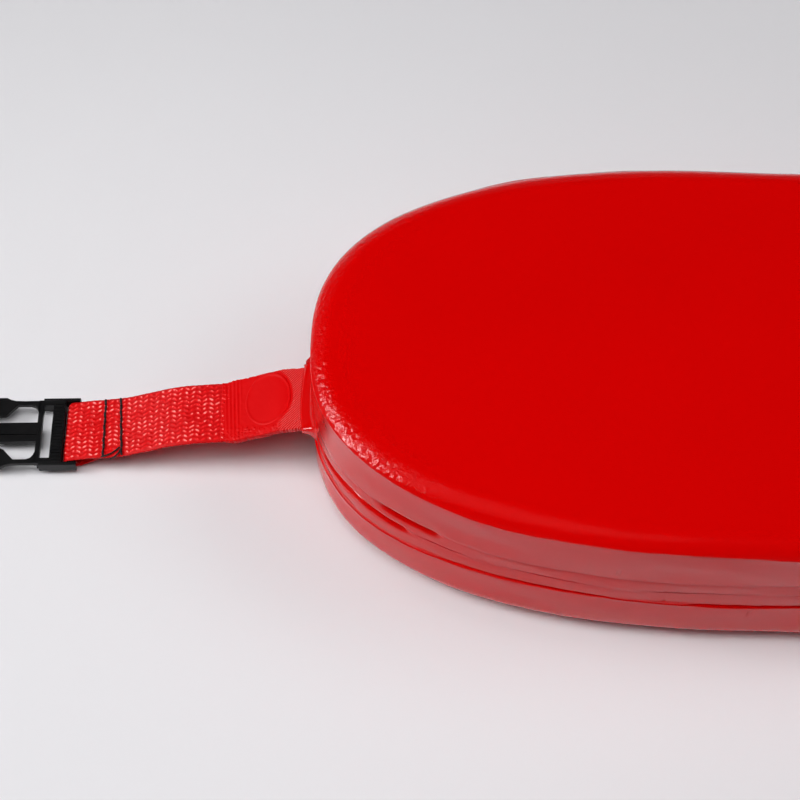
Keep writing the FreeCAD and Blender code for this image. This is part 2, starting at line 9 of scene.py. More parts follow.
import bmesh
import bpy
import numpy as np
from mathutils import Matrix, Vector
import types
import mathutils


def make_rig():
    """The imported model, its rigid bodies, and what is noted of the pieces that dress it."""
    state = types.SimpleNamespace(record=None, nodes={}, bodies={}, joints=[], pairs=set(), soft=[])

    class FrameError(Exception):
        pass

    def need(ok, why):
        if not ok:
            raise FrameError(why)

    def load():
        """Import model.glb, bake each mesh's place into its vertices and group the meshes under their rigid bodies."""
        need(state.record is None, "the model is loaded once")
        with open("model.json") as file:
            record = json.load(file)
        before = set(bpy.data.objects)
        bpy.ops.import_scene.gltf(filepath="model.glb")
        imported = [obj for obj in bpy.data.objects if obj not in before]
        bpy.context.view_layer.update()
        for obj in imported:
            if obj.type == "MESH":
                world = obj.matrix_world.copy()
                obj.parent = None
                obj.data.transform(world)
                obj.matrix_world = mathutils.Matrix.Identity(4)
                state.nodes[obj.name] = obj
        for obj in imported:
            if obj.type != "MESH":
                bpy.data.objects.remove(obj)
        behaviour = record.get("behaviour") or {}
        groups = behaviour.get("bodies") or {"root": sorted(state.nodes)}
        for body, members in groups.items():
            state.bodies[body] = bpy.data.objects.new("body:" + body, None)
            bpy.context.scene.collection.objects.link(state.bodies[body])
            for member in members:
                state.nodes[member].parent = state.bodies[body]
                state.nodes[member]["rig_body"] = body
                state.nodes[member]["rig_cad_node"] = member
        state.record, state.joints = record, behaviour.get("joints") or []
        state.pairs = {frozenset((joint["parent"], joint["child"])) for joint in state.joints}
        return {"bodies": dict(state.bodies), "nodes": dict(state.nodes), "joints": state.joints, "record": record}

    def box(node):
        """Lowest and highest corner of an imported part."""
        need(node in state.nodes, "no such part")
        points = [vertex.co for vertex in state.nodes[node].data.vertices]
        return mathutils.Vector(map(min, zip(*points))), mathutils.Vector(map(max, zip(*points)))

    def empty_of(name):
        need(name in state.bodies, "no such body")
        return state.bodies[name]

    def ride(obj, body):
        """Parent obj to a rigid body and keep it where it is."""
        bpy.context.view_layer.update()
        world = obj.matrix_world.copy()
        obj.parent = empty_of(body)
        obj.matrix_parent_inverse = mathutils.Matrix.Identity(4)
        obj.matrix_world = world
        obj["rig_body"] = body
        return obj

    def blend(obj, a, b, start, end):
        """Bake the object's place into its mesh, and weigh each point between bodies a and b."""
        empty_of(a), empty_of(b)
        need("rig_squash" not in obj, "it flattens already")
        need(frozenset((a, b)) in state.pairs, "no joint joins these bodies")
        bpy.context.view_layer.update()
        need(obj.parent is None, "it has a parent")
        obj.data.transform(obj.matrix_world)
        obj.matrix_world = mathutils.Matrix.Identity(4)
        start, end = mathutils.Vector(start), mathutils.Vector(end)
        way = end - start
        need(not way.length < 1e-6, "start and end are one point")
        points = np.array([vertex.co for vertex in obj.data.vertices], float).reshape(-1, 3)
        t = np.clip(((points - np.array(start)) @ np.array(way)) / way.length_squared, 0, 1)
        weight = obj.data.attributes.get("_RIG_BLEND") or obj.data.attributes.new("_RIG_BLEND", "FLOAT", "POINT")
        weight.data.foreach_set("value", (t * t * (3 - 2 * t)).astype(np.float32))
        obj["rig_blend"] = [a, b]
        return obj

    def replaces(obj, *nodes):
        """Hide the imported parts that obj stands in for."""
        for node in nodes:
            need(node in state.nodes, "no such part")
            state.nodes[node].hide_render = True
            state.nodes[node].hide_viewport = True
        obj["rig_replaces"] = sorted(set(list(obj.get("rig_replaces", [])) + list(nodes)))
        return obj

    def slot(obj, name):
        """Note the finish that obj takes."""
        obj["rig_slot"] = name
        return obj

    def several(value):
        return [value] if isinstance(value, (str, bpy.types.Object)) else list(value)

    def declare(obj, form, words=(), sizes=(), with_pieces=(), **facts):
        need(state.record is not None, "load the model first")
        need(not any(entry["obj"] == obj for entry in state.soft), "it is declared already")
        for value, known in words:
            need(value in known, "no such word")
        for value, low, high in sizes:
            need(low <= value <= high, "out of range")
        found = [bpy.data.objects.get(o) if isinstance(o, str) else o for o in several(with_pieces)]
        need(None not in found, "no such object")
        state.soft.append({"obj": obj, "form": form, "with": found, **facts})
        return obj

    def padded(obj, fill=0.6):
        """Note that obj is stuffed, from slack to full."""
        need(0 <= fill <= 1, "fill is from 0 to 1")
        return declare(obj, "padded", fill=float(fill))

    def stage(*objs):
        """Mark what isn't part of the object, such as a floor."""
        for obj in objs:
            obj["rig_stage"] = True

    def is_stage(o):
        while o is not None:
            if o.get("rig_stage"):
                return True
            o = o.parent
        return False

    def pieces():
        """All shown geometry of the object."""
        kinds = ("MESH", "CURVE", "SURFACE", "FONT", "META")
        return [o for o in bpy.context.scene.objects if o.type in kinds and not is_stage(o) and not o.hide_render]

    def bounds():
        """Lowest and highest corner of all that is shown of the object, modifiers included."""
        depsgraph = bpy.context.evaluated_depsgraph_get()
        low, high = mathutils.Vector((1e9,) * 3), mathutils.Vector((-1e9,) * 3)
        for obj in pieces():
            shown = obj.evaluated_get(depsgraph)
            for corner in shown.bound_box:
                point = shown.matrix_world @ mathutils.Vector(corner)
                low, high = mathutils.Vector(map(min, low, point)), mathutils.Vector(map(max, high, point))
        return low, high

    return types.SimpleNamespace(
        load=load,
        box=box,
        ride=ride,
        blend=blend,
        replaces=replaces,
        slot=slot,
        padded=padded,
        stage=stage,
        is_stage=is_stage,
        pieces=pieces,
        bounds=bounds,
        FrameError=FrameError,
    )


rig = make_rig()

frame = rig.load()
cad_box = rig.bounds()

MM = 0.001
SEED = 7


# ---------------------------------------------------------------------------------------
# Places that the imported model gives
# ---------------------------------------------------------------------------------------
def cad_limits(node):
    """A CAD node's lowest and highest corner, in millimetres."""
    low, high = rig.box(node)
    return np.array(low) / MM, np.array(high) / MM


def joint(name):
    """A joint's anchor in millimetres and its axis."""
    found = next(j for j in frame["joints"] if j["name"] == name)
    return np.array(found["pos_m"]) / MM, np.array(found["axis"])


COAT = 1.5
_, foam_high = cad_limits("foam_slab_top")
HALF_LENGTH = foam_high[0] + COAT
HALF_WIDTH = foam_high[1] + COAT
HEIGHT = foam_high[2] + COAT
SEAM_C = cad_limits("foam_slab_bottom")[1][2]
SEAM_B = cad_limits("foam_sheet_lower")[1][2]
SEAM_A = cad_limits("foam_sheet_upper")[1][2]
END_LENGTH = 149.2
END_POWER = 2.45
belt_low, belt_high = cad_limits("belt_core")
BELT_Y = (belt_low[1] + belt_high[1]) / 2
BELT_Z = (belt_low[2] + belt_high[2]) / 2
WEB_WIDTH = belt_high[1] - belt_low[1]
WEB_THICK = 1.6
LEFT_ROOT, LEFT_AXIS = joint("left_belt_root")
RIGHT_ROOT, _ = joint("right_belt_root")
LEFT_YAW = math.atan2(-LEFT_AXIS[0], LEFT_AXIS[1])


def left_to_row(points):
    """Points of the left end's frame (outwards, across, up) in the row frame."""
    points = np.asarray(points, float)
    x, y, z = -points[..., 0], points[..., 1], points[..., 2]
    c, s = math.cos(LEFT_YAW), math.sin(LEFT_YAW)
    return np.stack([LEFT_ROOT[0] + x * c - y * s, LEFT_ROOT[1] + x * s + y * c, z], -1)


def right_to_row(points):
    """Points of the right end's frame (outwards, across, up) in the row frame."""
    points = np.asarray(points, float)
    return points + [RIGHT_ROOT[0], RIGHT_ROOT[1], 0]


# ---------------------------------------------------------------------------------------
# Small tools
# ---------------------------------------------------------------------------------------
def smooth(t):
    """0 below 0, 1 above 1 and a soft step between."""
    t = np.clip(t, 0, 1)
    return t * t * (3 - 2 * t)


def hump(x, start, end, soft):
    """1 between start and end, with soft flanks outside."""
    return smooth((x - start) / soft + 1) * smooth((end - x) / soft + 1)


class Ripple:
    """Soft noise over one or two coordinates: a sum of seeded waves between two lengths."""

    def __init__(self, seed, shortest, longest, count=14, period=None):
        rng = np.random.default_rng(SEED * 1000 + seed)
        lengths = np.exp(rng.uniform(np.log(shortest), np.log(longest), count))
        turn = rng.uniform(0, 2 * math.pi, count)
        self.kx = 2 * math.pi / lengths * np.cos(turn)
        self.ky = 2 * math.pi / lengths * np.sin(turn)
        if period:
            self.kx = np.round(self.kx * period / (2 * math.pi)) * 2 * math.pi / period
        self.phase = rng.uniform(0, 2 * math.pi, count)
        self.scale = math.sqrt(2 / count)

    def __call__(self, x, y=0.0):
        x, y = np.broadcast_arrays(np.asarray(x, float), np.asarray(y, float))
        total = np.zeros(x.shape)
        for kx, ky, phase in zip(self.kx, self.ky, self.phase):
            total += np.sin(kx * x + ky * y + phase)
        return total * self.scale


def grid_faces(rows, columns, flip=False):
    """Quads of a closed band whose vertices are numbered row by row; each row is a ring."""
    r, c = np.meshgrid(np.arange(rows - 1), np.arange(columns), indexing="ij")
    r2, c2 = r + 1, (c + 1) % columns
    quads = np.stack([r * columns + c, r * columns + c2, r2 * columns + c2, r2 * columns + c], -1)
    quads = quads.reshape(-1, 4)
    return quads[:, ::-1] if flip else quads


def make_mesh(name, points, faces, material, attributes=None):
    """A smooth-shaded object from points in millimetres."""
    mesh = bpy.data.meshes.new(name)
    corners = (np.asarray(points, float) * MM).tolist()
    mesh.from_pydata(corners, [], [list(map(int, f)) for f in faces])
    mesh.validate()
    for key, values in (attributes or {}).items():
        layer = mesh.attributes.new(key, "FLOAT", "POINT")
        layer.data.foreach_set("value", np.asarray(values, np.float32).ravel())
    mesh.polygons.foreach_set("use_smooth", [True] * len(mesh.polygons))
    mesh.materials.append(material)
    piece = bpy.data.objects.new(name, mesh)
    bpy.context.scene.collection.objects.link(piece)
    return piece


# ---------------------------------------------------------------------------------------
# Materials
# ---------------------------------------------------------------------------------------
# The elastic's cords run along it and its picks across; both are also in the band's shape.
CORD_PITCH = 0.9
PICK_PITCH = 0.7


class Nodes:
    """A new material with a Principled shader, and short calls to add nodes to it."""

    def __init__(self, name, **sockets):
        self.material = bpy.data.materials.new(name)
        self.material.use_nodes = True
        self.tree = self.material.node_tree
        self.shader = self.tree.nodes["Principled BSDF"]
        for key, value in sockets.items():
            self.shader.inputs[key.replace("_", " ")].default_value = value

    def add(self, kind, **settings):
        node = self.tree.nodes.new(kind)
        for key, value in settings.items():
            setattr(node, key, value)
        return node

    def link(self, source, target):
        self.tree.links.new(source, target)

    def attribute(self, name):
        return self.add("ShaderNodeAttribute", attribute_name=name).outputs["Fac"]

    def math(self, operation, a, b=None):
        node = self.add("ShaderNodeMath", operation=operation)
        for socket, value in zip(node.inputs, (a, b)):
            if value is None:
                continue
            if isinstance(value, (int, float)):
                socket.default_value = value
            else:
                self.link(value, socket)
        return node.outputs[0]

    def noise(self, scale, detail, rough=0.5):
        """Noise in object space; scale is in features per metre."""
        place = self.add("ShaderNodeTexCoord").outputs["Object"]
        node = self.add("ShaderNodeTexNoise")
        node.inputs["Scale"].default_value = scale
        node.inputs["Detail"].default_value = detail
        node.inputs["Roughness"].default_value = rough
        self.link(place, node.inputs["Vector"])
        return node.outputs["Fac"]

    def ramp(self, source, stops):
        """A colour ramp: stops are (place, colour or grey)."""
        node = self.add("ShaderNodeValToRGB")
        ends = node.color_ramp.elements
        while len(ends) < len(stops):
            ends.new(0.5)
        for end, (place, colour) in zip(ends, stops):
            end.position = place
            rgb = (colour,) * 3 if isinstance(colour, (int, float)) else colour
            end.color = (*rgb, 1)
        self.link(source, node.inputs["Fac"])
        return node.outputs["Color"]

    def bump(self, height, strength, distance_mm, below=None):
        node = self.add("ShaderNodeBump")
        node.inputs["Strength"].default_value = strength
        node.inputs["Distance"].default_value = distance_mm * MM
        self.link(height, node.inputs["Height"])
        if below is not None:
            self.link(below, node.inputs["Normal"])
        return node.outputs["Normal"]

    def into(self, source, socket):
        self.link(source, self.shader.inputs[socket])


def pad_vinyl():
    """Dip-coated vinyl: satin gloss, faint orange peel, leathery where the skin is stretched."""
    n = Nodes("pad_vinyl", IOR=1.52)
    broad = n.noise(9, 2)
    n.into(n.ramp(broad, [(0.3, (0.625, 0.0, 0.0)), (0.7, (0.67, 0.0, 0.0))]), "Base Color")
    fine = n.noise(700, 3)
    grain = n.math("MULTIPLY", fine, 0.06)
    uneven = n.math("ADD", grain, n.math("MULTIPLY", n.attribute("leather"), 0.10))
    n.into(n.math("ADD", uneven, 0.06), "Roughness")
    leather = n.math("MULTIPLY", n.noise(620, 3, 0.55), n.attribute("leather"))
    first = n.bump(leather, 0.75, 0.6)
    n.into(n.bump(n.noise(120, 2), 0.03, 0.25, first), "Normal")
    return n.material


def strap_vinyl():
    """The thinner vinyl that runs on over the belt; its twill lines carry a painted highlight."""
    n = Nodes("strap_vinyl", IOR=1.32)
    n.shader.inputs["Specular IOR Level"].default_value = 0.3
    diagonal = n.math("ADD", n.attribute("along"), n.attribute("across"))
    twill = n.math("SINE", n.math("MULTIPLY", diagonal, 2 * math.pi / 0.95))
    shown = n.math("MULTIPLY", twill, n.attribute("twill"))
    # Painted highlight: the twill ridges are coloured pale pink and the troughs a little darker; the same lines also
    # go into the bump.
    tone = n.math("ADD", n.math("MULTIPLY", n.noise(60, 3), 0.2), n.math("MULTIPLY", shown, 0.42))
    reds = [(0.05, (0.66, 0.001, 0.002)), (0.2, (0.72, 0.003, 0.004)), (0.65, (0.88, 0.20, 0.19))]
    n.into(n.ramp(tone, reds), "Base Color")
    n.into(n.ramp(n.noise(900, 2), [(0.3, 0.36), (0.7, 0.5)]), "Roughness")
    first = n.bump(shown, 0.6, 0.12)
    n.into(n.bump(n.noise(500, 3), 0.25, 0.2, first), "Normal")
    return n.material


def webbing():
    """Herringbone polyester webbing, with painted highlight and shade: paler dashes where the yarn floats over, darker
    red between.
    """
    n = Nodes("webbing", IOR=1.38)
    n.shader.inputs["Specular IOR Level"].default_value = 0.35
    n.shader.inputs["Sheen Weight"].default_value = 0.03
    n.shader.inputs["Sheen Roughness"].default_value = 0.4
    n.shader.inputs["Sheen Tint"].default_value = (1.0, 0.45, 0.45, 1)
    # Painted light and shade: the base colour follows the weave's height, with a pale pink highlight on the float tops
    # and darker red in the valleys.
    weave_light_and_shade = n.math("MULTIPLY", n.attribute("yarn"), n.math("ADD", n.noise(1500, 2), 0.45))
    reds = [(0.12, (0.60, 0.001, 0.002)), (0.5, (0.84, 0.010, 0.012)), (0.95, (0.96, 0.36, 0.33))]
    n.into(n.ramp(weave_light_and_shade, reds), "Base Color")
    n.into(n.ramp(n.noise(800, 2), [(0.3, 0.42), (0.7, 0.6)]), "Roughness")
    n.into(n.bump(n.noise(2600, 3), 0.35, 0.10), "Normal")
    return n.material


def black_plastic():
    """Moulded acetal: satin, with faint flow marks."""
    n = Nodes("black_plastic", IOR=1.42)
    n.shader.inputs["Specular IOR Level"].default_value = 0.4
    greys = [(0.3, (0.004, 0.004, 0.0045)), (0.7, (0.008, 0.0078, 0.008))]
    n.into(n.ramp(n.noise(180, 3), greys), "Base Color")
    n.into(n.ramp(n.noise(420, 4, 0.6), [(0.3, 0.34), (0.7, 0.5)]), "Roughness")
    n.into(n.bump(n.noise(1400, 3), 0.22, 0.08), "Normal")
    return n.material


def thread():
    """Bonded black thread with its ply."""
    n = Nodes("black_thread", IOR=1.45)
    greys = [(0.3, (0.006, 0.006, 0.007)), (0.7, (0.022, 0.021, 0.022))]
    n.into(n.ramp(n.noise(900, 2), greys), "Base Color")
    n.into(n.ramp(n.noise(1600, 2), [(0.3, 0.5), (0.7, 0.7)]), "Roughness")
    n.into(n.bump(n.noise(3200, 2), 0.5, 0.08), "Normal")
    return n.material


def elastic():
    """Flat black woven elastic with lengthwise ribs."""
    n = Nodes("black_elastic", IOR=1.45)
    cords = n.math("SINE", n.math("MULTIPLY", n.attribute("across"), 2 * math.pi / CORD_PITCH))
    picks = n.math("SINE", n.math("MULTIPLY", n.attribute("along"), 2 * math.pi / PICK_PITCH))
    woven = n.math("ADD", n.math("MULTIPLY", cords, 0.6), n.math("MULTIPLY", picks, 0.4))
    tone = n.math("ADD", n.math("MULTIPLY", woven, 0.3), 0.5)
    n.into(n.ramp(tone, [(0.2, 0.010), (0.8, 0.034)]), "Base Color")
    n.into(n.ramp(n.noise(700, 2), [(0.3, 0.6), (0.7, 0.8)]), "Roughness")
    n.into(n.bump(woven, 0.6, 0.12), "Normal")
    return n.material


def pale_floor():
    """Matt white paper."""
    n = Nodes("pale_floor", IOR=1.4)
    whites = [(0.3, (0.775, 0.77, 0.79)), (0.7, (0.795, 0.79, 0.81))]
    n.into(n.ramp(n.noise(3, 2), whites), "Base Color")
    n.into(n.ramp(n.noise(40, 2), [(0.3, 0.75), (0.7, 0.85)]), "Roughness")
    return n.material


PAD_VINYL = pad_vinyl()
STRAP_VINYL = strap_vinyl()
WEBBING = webbing()
BLACK = black_plastic()
THREAD = thread()
ELASTIC = elastic()


# ---------------------------------------------------------------------------------------
# The pad's skin: one closed mesh of columns round the outline and rows up the side
# ---------------------------------------------------------------------------------------
COLUMNS = 1440
BOTTOM_ROUND = 9.0
TOP_ROUND = 11.0
CREASE_DEGREES = 40  # where the round of the top edge begins, turned up from the side
CREASE_TURN = math.radians(CREASE_DEGREES)
CREASE_DROP = TOP_ROUND * (1 - math.sin(CREASE_TURN))
# Rows of vertices below and above each seam, closest together where its groove and lip are.
ROWS_BELOW_SEAM = [-3, -2.3, -1.7, -1.25, -0.9, -0.62, -0.4, -0.24, -0.1]
ROWS_ABOVE_SEAM = [0, 0.1, 0.24, 0.4, 0.65, 1.0, 1.6, 2.4]
SEAM_ROWS = ROWS_BELOW_SEAM + ROWS_ABOVE_SEAM
PLAIN_WALL = 0.05  # the leathery share of the smooth side and underside
PLAIN_TOP = 0.04
# Stretches of the near side, as (start, end, length of either flank) along x.
GASH = (-131.5, -121.5, 7)
OPEN_SEAM_A = (-175, -106, 6)
CHANNEL = (-153, -131, 7)
SLITS = ((-112, -66, 8), (-30, 60, 8))
DEEP_STEP = (-85, -35, 25)
FAR_SIDE = 400  # added to x on the far side, so that no stretch of the near side is there
LIP_HEIGHT = 0.34
# Pinholes of the near side, as (x, height).
NEAR_PITS = [
    (-59.0, 41.5),
    (-43.0, 31.6),
    (-38.5, 31.4),
    (-22.5, 31.2),
    (-53.0, 24.4),
    (-42.5, 24.9),
    (-14.0, 21.0),
]
SCATTERED_PITS = 26
PIT_DEPTH = 0.7
# How far the vinyl swells out where the belt leaves the pad.
COLLAR_SWELL = 2.7
BEAD_SWELL = 1.9
FIN_SWELL = 5.0


def pad_outline():
    """Evenly spaced points on the outline, their outward normals and the distance along it."""
    angle = np.linspace(-math.pi / 2, math.pi / 2, 4001)
    power = 2 / END_POWER
    x = HALF_LENGTH - END_LENGTH + END_LENGTH * np.abs(np.cos(angle)) ** power
    y = HALF_WIDTH * np.sign(np.sin(angle)) * np.abs(np.sin(angle)) ** power
    loop = np.stack([np.concatenate([x, -x, x[:1]]), np.concatenate([y, -y, y[:1]])], -1)
    walked = np.concatenate([[0], np.cumsum(np.hypot(*np.diff(loop, axis=0).T))])
    run = np.arange(COLUMNS) * walked[-1] / COLUMNS
    points = np.stack([np.interp(run, walked, loop[:, i]) for i in (0, 1)], -1)
    ahead = np.roll(points, -2, 0) - np.roll(points, 2, 0)
    ahead /= np.linalg.norm(ahead, axis=1)[:, None]
    return points, np.stack([ahead[:, 1], -ahead[:, 0]], -1), run, walked[-1]


def groove(away, depth, width):
    """A narrow round groove: its depth at a distance from its middle."""
    return depth * np.exp(-((away / width) ** 2))


def trough(away, depth, width):
    """A groove with a flat bottom."""
    return depth * np.exp(-((away / width) ** 4))


def build_pad():
    """Four layers seen through the skin: steps, slits and lips at the seams, and a round edge."""
    points, normals, run, length = pad_outline()
    x, y = points.T
    front = np.where(y < 0, x, FAR_SIDE + x)

    def wave(seed, low, high):
        return Ripple(seed, low, high, period=length)(run)

    leftness = smooth((-100 - x) / 40)
    seam_a = SEAM_A - 0.2 + 0.55 * wave(1, 60, 300) - 1.5 * smooth((-140 - x) / 14)
    seam_b = SEAM_B - 0.1 + 0.55 * wave(2, 60, 300) - 2.5 * smooth((-142 - x) / 14)
    seam_c = SEAM_C + 0.3 + 0.4 * wave(3, 60, 300) - 3.5 * smooth((-100 - x) / 50)
    crease = HEIGHT - CREASE_DROP + 0.35 * wave(4, 50, 240) + 1.0 * leftness

    height_rows, inset_rows, leather_rows = [], [], []

    def wall_inset(z):
        """How far in the side lies at these heights, one per column."""
        away_a, away_b, away_c = z - seam_a, z - seam_b, z - seam_c
        gash = hump(front, *GASH) * (0.75 + 0.25 * smooth((front + 133) / 12))
        open_a = hump(front, *OPEN_SEAM_A)
        channel = hump(front, *CHANNEL)
        far_slits = 0.5 * (wave(7, 60, 160) > 0.5) * (y > 0)
        slit = np.clip(hump(front, *SLITS[0]) + hump(front, *SLITS[1]) + far_slits, 0, 1)
        sheets = smooth(away_c / 0.9) * smooth(-away_a / 0.9)
        total = 0.45 * sheets * (1 + 0.35 * wave(8, 40, 160))
        total = total + groove(away_a, 0.22 + 0.40 * open_a, 0.22 + 0.10 * open_a)
        total = total + trough(away_a + 1.1, 3.1 * gash, 1.65)
        total = total + groove(away_b, 0.35 + 0.12 * wave(6, 15, 60), 0.26)
        total = total + trough(away_b + 0.7, 2.1 * channel, 1.35)
        total = total + groove(away_c, 0.20 + 0.95 * slit, 0.24 + 0.14 * slit)
        under_a = np.where(away_a < 0, np.exp(away_a / 1.7), 0) * smooth(-away_a / 0.3)
        under_b = np.where(away_b < 0, np.exp(away_b / 1.5), 0) * smooth(-away_b / 0.3)
        total = total + 0.8 * under_a * (0.6 + 0.5 * hump(front, *DEEP_STEP)) + 0.45 * under_b
        strengths = (1 - 0.8 * open_a, 1 - channel, 1 - slit)
        for away, strength in zip((away_a, away_b, away_c), strengths):
            total = total - groove(away + 0.36, LIP_HEIGHT * strength, 0.26)
        return total

    low_wall = Ripple(10, 25, 120, period=length)
    mid_wall = Ripple(11, 5, 16, period=length)

    def row(z, inset, leather, rough=True):
        """Adds a row round the pad: its heights, how far in it lies and how leathery it is."""
        z = np.broadcast_to(z, (COLUMNS,)).astype(float)
        inset = np.broadcast_to(inset, (COLUMNS,)).astype(float)
        if rough:
            inset = inset + 0.16 * low_wall(run, 2.0 * z) + 0.020 * mid_wall(run, 2.6 * z)
        height_rows.append(z)
        inset_rows.append(inset)
        leather_rows.append(np.broadcast_to(leather, (COLUMNS,)).astype(float))

    for turn in np.linspace(-90, 0, 12)[:-1]:
        turn = math.radians(turn)
        z = BOTTOM_ROUND * (1 + math.sin(turn))
        row(z, BOTTOM_ROUND * (1 - math.cos(turn)), PLAIN_WALL, turn > -1.4)

    def even(start, end, count):
        """Adds evenly spaced rows of plain wall between two heights."""
        for share in (np.arange(count) + 1) / (count + 1):
            z = start + (end - start) * share
            row(z, wall_inset(z), PLAIN_WALL)

    wall_foot = np.full(COLUMNS, BOTTOM_ROUND)
    row(wall_foot, wall_inset(wall_foot), PLAIN_WALL)
    even(wall_foot, seam_c + SEAM_ROWS[0], 5)
    for seam, above in ((seam_c, seam_b), (seam_b, seam_a), (seam_a, None)):
        for offset in SEAM_ROWS:
            row(seam + offset, wall_inset(seam + offset), PLAIN_WALL)
        if above is not None:
            even(seam + SEAM_ROWS[-1], above + SEAM_ROWS[0], 1)
    even(seam_a + SEAM_ROWS[-1], crease - 1.3, 8)
    for offset in (-1.3, -0.7, -0.35, -0.15):
        row(crease + offset, wall_inset(crease + offset) + 0.02, PLAIN_WALL)

    rim = 0.10 + 0.90 * leftness
    cell = Ripple(20, 1.3, 2.4, 80, period=length)
    fold = Ripple(21, 2.0, 6.0, 30, period=length)
    for turn in np.linspace(CREASE_DEGREES, 90, 18):
        turn = math.radians(turn)
        up = math.sin(turn) - math.sin(CREASE_TURN)
        z = crease + TOP_ROUND * up * (HEIGHT - crease) / CREASE_DROP
        inset = TOP_ROUND * (math.cos(CREASE_TURN) - math.cos(turn)) + 0.05
        band = smooth((math.degrees(turn) - CREASE_DEGREES) / 10)
        band = band * smooth((89 - math.degrees(turn)) / 20)
        across = TOP_ROUND * turn
        bumpy = 0.05 * cell(run, across) + 0.09 * np.abs(fold(run, across * 0.6))
        row(z, inset + band * rim * bumpy * math.cos(turn), 0.15 + 0.85 * rim * band, False)
        height_rows[-1] = height_rows[-1] - band * rim * np.abs(bumpy) * math.sin(turn)

    heights = np.array(height_rows)
    insets = np.array(inset_rows)
    leathers = np.array(leather_rows)
    ring = points[None] - normals[None] * insets[..., None]
    ring = np.concatenate([ring, heights[..., None]], -1)
    ring = swell_at_belt(ring, normals)

    def face_rings(base, z, scales, sag):
        """Rings of a flat face, from its rim to the middle."""
        rings = []
        for scale in scales:
            level = z + sag * (1 - scale ** 2)
            flat = np.full(COLUMNS, level)
            rings.append(np.stack([base[:, 0] * scale, base[:, 1] * scale, flat], -1))
        return rings

    low = face_rings(ring[0], 0.0, [0.15, 0.4, 0.65, 0.85, 0.96], 0.0)
    top_scales = [0.985, 0.96, 0.92, 0.86, 0.78, 0.66, 0.5, 0.3, 0.1]
    high = face_rings(ring[-1], float(HEIGHT) - 0.02, top_scales, -0.25)
    grain = Ripple(30, 40, 110)
    for level in high:
        level[:, 2] += 0.035 * grain(level[:, 0], level[:, 1]) - 0.035
    levels = np.array(low + list(ring) + high)
    underside = np.full((len(low), COLUMNS), PLAIN_WALL)
    top_face = np.full((len(high), COLUMNS), PLAIN_TOP)
    leather = np.concatenate([underside, leathers, top_face])
    first_top = len(low) + len(ring)
    for i, share in zip(range(first_top, first_top + 3), (0.55, 0.28, 0.12)):
        leather[i] = PLAIN_TOP + share * rim
    vertices = levels.reshape(-1, 3)
    faces = grid_faces(len(levels), COLUMNS).tolist()
    faces.append(list(range(COLUMNS))[::-1])
    last = (len(levels) - 1) * COLUMNS
    faces.append([last + i for i in range(COLUMNS)])
    dent_pits(vertices, len(low), len(ring))
    return make_mesh("pad_skin", vertices, faces, PAD_VINYL, {"leather": leather.ravel()})


def swell_at_belt(ring, normals):
    """The collar and bead of vinyl where the belt leaves either end, and the left's torn fin."""
    out = np.zeros(ring.shape[:2])
    for end in (-1, 1):
        near = ring[..., 0] * end > HALF_LENGTH - 8
        away_y = np.abs(ring[..., 1] - BELT_Y) - (WEB_WIDTH / 2 + 0.5)
        away_z = np.abs(ring[..., 2] - BELT_Z) - (WEB_THICK / 2 + 0.5)
        outside = np.hypot(np.clip(away_y, 0, None), np.clip(away_z, 0, None))
        collar = COLLAR_SWELL * (1 - smooth(outside / 1.0))
        bead = BEAD_SWELL * (1 - smooth(outside / 3.4))
        shape = (collar + bead) * (away_y < 6) * (away_z < 8)
        if end < 0:
            along = ring[..., 1] - (BELT_Y + WEB_WIDTH / 2)
            level = BELT_Z + 0.8 + 0.55 * along
            fade = smooth((along + 1.2) / 1.0) * smooth((7.5 - along) / 7.0)
            fin = np.exp(-((ring[..., 2] - level) / 0.65) ** 2) * fade
            shape = np.maximum(shape, FIN_SWELL * fin)
        out = out + near * shape
    moved = ring.copy()
    moved[..., :2] += normals[None] * out[..., None]
    return moved


def dent_pits(vertices, first_row, row_count):
    """Pinholes in the skin: single points pushed in, most of them near the seams."""
    rng = np.random.default_rng(SEED + 5)
    wall = vertices[first_row * COLUMNS:(first_row + row_count) * COLUMNS]
    scattered = zip(
        rng.uniform(-150, 150, SCATTERED_PITS), rng.choice([SEAM_A, SEAM_B, SEAM_C], SCATTERED_PITS)
    )
    for i, (x, z) in enumerate(NEAR_PITS + list(scattered)):
        side = wall[:, 1] < 0 if i < len(NEAR_PITS) or i % 2 else wall[:, 1] > 0
        gap = np.abs(wall[:, 0] - x) + np.abs(wall[:, 2] - z) + 1000 * ~side
        at = int(gap.argmin())
        wall[at, 1] -= np.sign(wall[at, 1]) * PIT_DEPTH


pad = build_pad()
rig.replaces(
    pad,
    "dip_coating",
    "foam_slab_top",
    "foam_sheet_upper",
    "foam_sheet_lower",
    "foam_slab_bottom",
    "belt_core",
)
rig.slot(pad, "red_vinyl")
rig.ride(pad, "float")
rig.padded(pad, fill=1.0)


